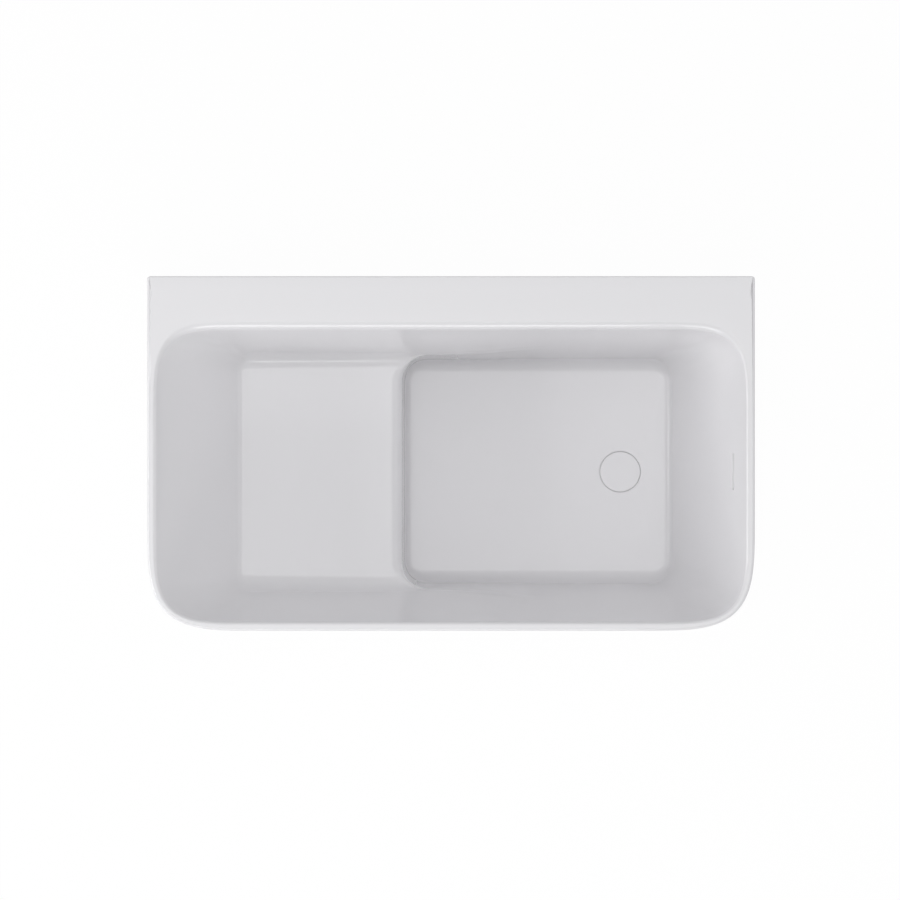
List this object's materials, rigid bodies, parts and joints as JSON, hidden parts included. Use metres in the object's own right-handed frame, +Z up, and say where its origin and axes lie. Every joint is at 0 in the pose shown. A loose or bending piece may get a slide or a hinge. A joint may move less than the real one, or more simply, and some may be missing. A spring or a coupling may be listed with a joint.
{
  "type": "soaking bath",
  "caption": "Compact deep acrylic soaking bath with a moulded seat, a flat deck along the wall, a rounded free front, an apron and levelling feet",
  "frame": {"origin": "middle of the footprint, on the floor", "axes": "+Z up, +Y towards the wall, X along the wall with the seat at -X and the waste at +X"},
  "size_m": [1.2, 0.7, 0.65],
  "materials": {
    "white_acrylic": "gloss",
    "board": "raw",
    "steel": "zinc plated",
    "bright_steel": "bright",
    "foot_plastic": "matt",
    "seal_rubber": "matt",
    "brass": "turned",
    "waste_plastic": "satin"
  },
  "bodies": {
    "root": {"basin": "white_acrylic", "apron": "white_acrylic", "base_board": "board", "seat_board": "board", "seat_posts": "steel", "frame_rails": "steel", "cross_bars": "steel", "deck_batten": "board", "wall_clips": "steel", "wall_spacers": "foot_plastic", "clip_screws": "bright_steel", "apron_brackets": "steel", "frame_nuts": "steel", "lock_nuts": "steel", "waste_flange": "bright_steel", "flange_seal": "seal_rubber", "body_gasket": "seal_rubber", "waste_body": "waste_plastic", "click_cartridge": "brass", "cartridge_spring": "bright_steel", "trap_nut": "waste_plastic", "trap_seal": "seal_rubber", "trap_body": "waste_plastic", "outlet_nut": "waste_plastic", "outlet_seal": "seal_rubber", "overflow_gasket": "seal_rubber", "overflow_housing": "waste_plastic", "overflow_hose": "waste_plastic", "hose_clamps": "bright_steel"},
    "foot_1": {"foot_stem_1": "steel", "foot_pad_1": "foot_plastic"},
    "foot_2": {"foot_stem_2": "steel", "foot_pad_2": "foot_plastic"},
    "foot_3": {"foot_stem_3": "steel", "foot_pad_3": "foot_plastic"},
    "foot_4": {"foot_stem_4": "steel", "foot_pad_4": "foot_plastic"},
    "foot_5": {"foot_stem_5": "steel", "foot_pad_5": "foot_plastic"},
    "cover": {"drain_cover": "white_acrylic", "cover_stem": "brass", "cover_seal": "seal_rubber"}
  },
  "joints": [
    {"name": "foot_1_level", "type": "slide", "parent": "root", "child": "foot_1", "axis": [0, 0, -1], "range_m": [-0.01, 0.01]},
    {"name": "foot_2_level", "type": "slide", "parent": "root", "child": "foot_2", "axis": [0, 0, -1], "range_m": [-0.01, 0.01]},
    {"name": "foot_3_level", "type": "slide", "parent": "root", "child": "foot_3", "axis": [0, 0, -1], "range_m": [-0.01, 0.01]},
    {"name": "foot_4_level", "type": "slide", "parent": "root", "child": "foot_4", "axis": [0, 0, -1], "range_m": [-0.01, 0.01]},
    {"name": "foot_5_level", "type": "slide", "parent": "root", "child": "foot_5", "axis": [0, 0, -1], "range_m": [-0.01, 0.01]},
    {"name": "cover_lift", "type": "slide", "parent": "root", "child": "cover", "axis": [0, 0, 1], "range_m": [0, 0.009], "deforming": ["cartridge_spring"]}
  ]
}
